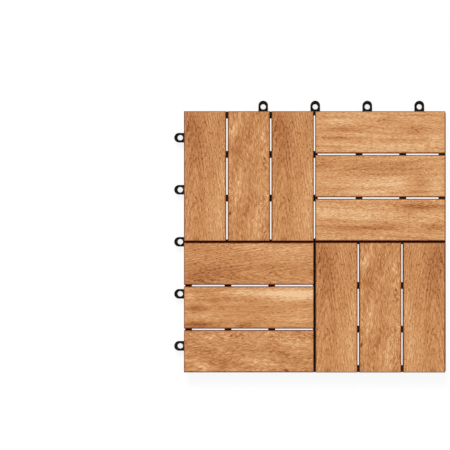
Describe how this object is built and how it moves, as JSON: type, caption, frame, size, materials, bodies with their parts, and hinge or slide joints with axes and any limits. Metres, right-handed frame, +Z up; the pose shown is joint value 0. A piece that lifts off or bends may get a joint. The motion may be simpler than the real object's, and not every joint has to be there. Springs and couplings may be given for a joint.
{
  "type": "interlocking deck tile",
  "caption": "Square outdoor deck tile: tan hardwood slats in four panels turned by quarters, screwed to a black moulded grid with loops on two sides and pegs on the others.",
  "frame": {"origin": "the middle of the grid, on the ground, at the underside of the middle foot", "axes": "+Z up out of the slats; +Y to the far side, which has four loops; -X to the side with five loops"},
  "size_m": [0.3126, 0.3126, 0.024],
  "materials": {
    "grid_plastic": "black moulded polypropylene, slightly satin",
    "slat_wood": "oiled tan hardwood with short dark pores along the grain",
    "screw_steel": "plain zinc-plated steel"
  },
  "bodies": {
    "root": {"base_grid": "grid_plastic", "slat_ne_1": "slat_wood", "slat_ne_2": "slat_wood", "slat_ne_3": "slat_wood", "slat_nw_1": "slat_wood", "slat_nw_2": "slat_wood", "slat_nw_3": "slat_wood", "slat_sw_1": "slat_wood", "slat_sw_2": "slat_wood", "slat_sw_3": "slat_wood", "slat_se_1": "slat_wood", "slat_se_2": "slat_wood", "slat_se_3": "slat_wood", "slat_screws": "screw_steel"}
  },
  "joints": []
}
